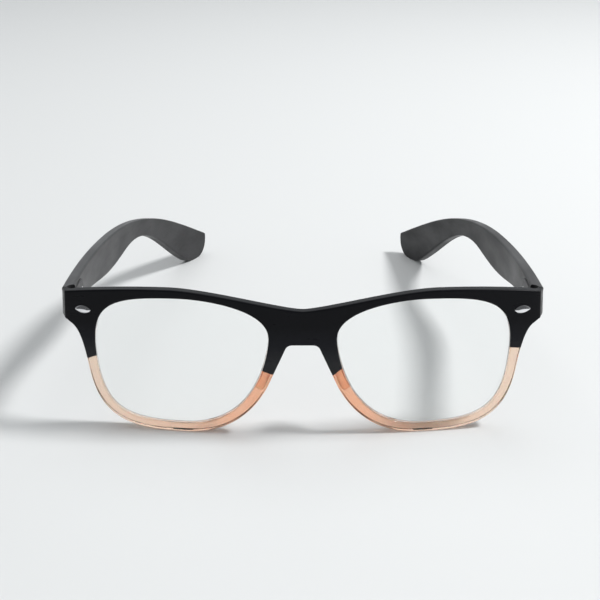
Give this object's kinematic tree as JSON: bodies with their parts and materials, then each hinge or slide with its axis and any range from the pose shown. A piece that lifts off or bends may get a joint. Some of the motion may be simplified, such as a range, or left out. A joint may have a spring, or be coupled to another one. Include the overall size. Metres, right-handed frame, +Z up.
{
  "type": "eyeglasses",
  "caption": "Folding eyeglasses with a curved trapezoid front in two tones, clear lenses, almond studs and hinged temples with bent tips.",
  "frame": {"origin": "on the table at the middle of the open glasses, as they stand on their rims and temple tips", "axes": "+X to the right across the front as the picture shows it, +Y from the front towards the temple tips, +Z up from the table"},
  "size_m": [0.15, 0.1372, 0.0491],
  "materials": {
    "front_black": "satin black acetate",
    "rim_peach": "polished translucent peach acetate",
    "pad_peach": "polished translucent peach acetate",
    "lens_clear": "clear, with polished bevels",
    "stud_polished": "polished",
    "hinge_steel": "brushed",
    "screw_steel": "turned",
    "temple_grey": "matte dark grey, finely brushed",
    "wire_steel": "drawn"
  },
  "bodies": {
    "front": {"front_upper": "front_black", "lower_rim_left": "rim_peach", "lower_rim_right": "rim_peach", "nose_pad_left": "pad_peach", "nose_pad_right": "pad_peach", "lens_left": "lens_clear", "lens_right": "lens_clear", "endpiece_stud_left": "stud_polished", "endpiece_stud_right": "stud_polished", "front_hinge_left": "hinge_steel", "front_hinge_right": "hinge_steel", "hinge_screw_left": "screw_steel", "hinge_screw_right": "screw_steel"},
    "temple_arm_left": {"temple_left": "temple_grey", "temple_hinge_left": "hinge_steel", "temple_rivets_left": "stud_polished", "core_wire_left": "wire_steel"},
    "temple_arm_right": {"temple_right": "temple_grey", "temple_hinge_right": "hinge_steel", "temple_rivets_right": "stud_polished", "core_wire_right": "wire_steel"}
  },
  "joints": [
    {"name": "fold_left", "type": "hinge", "parent": "front", "child": "temple_arm_left", "pos_m": [-0.07, -0.05659, 0.04177], "axis": [0, -0.075, -0.9972], "range_deg": [0, 80]},
    {"name": "fold_right", "type": "hinge", "parent": "front", "child": "temple_arm_right", "pos_m": [0.07, -0.05659, 0.04177], "axis": [0, 0.075, 0.9972], "range_deg": [0, 74]}
  ]
}
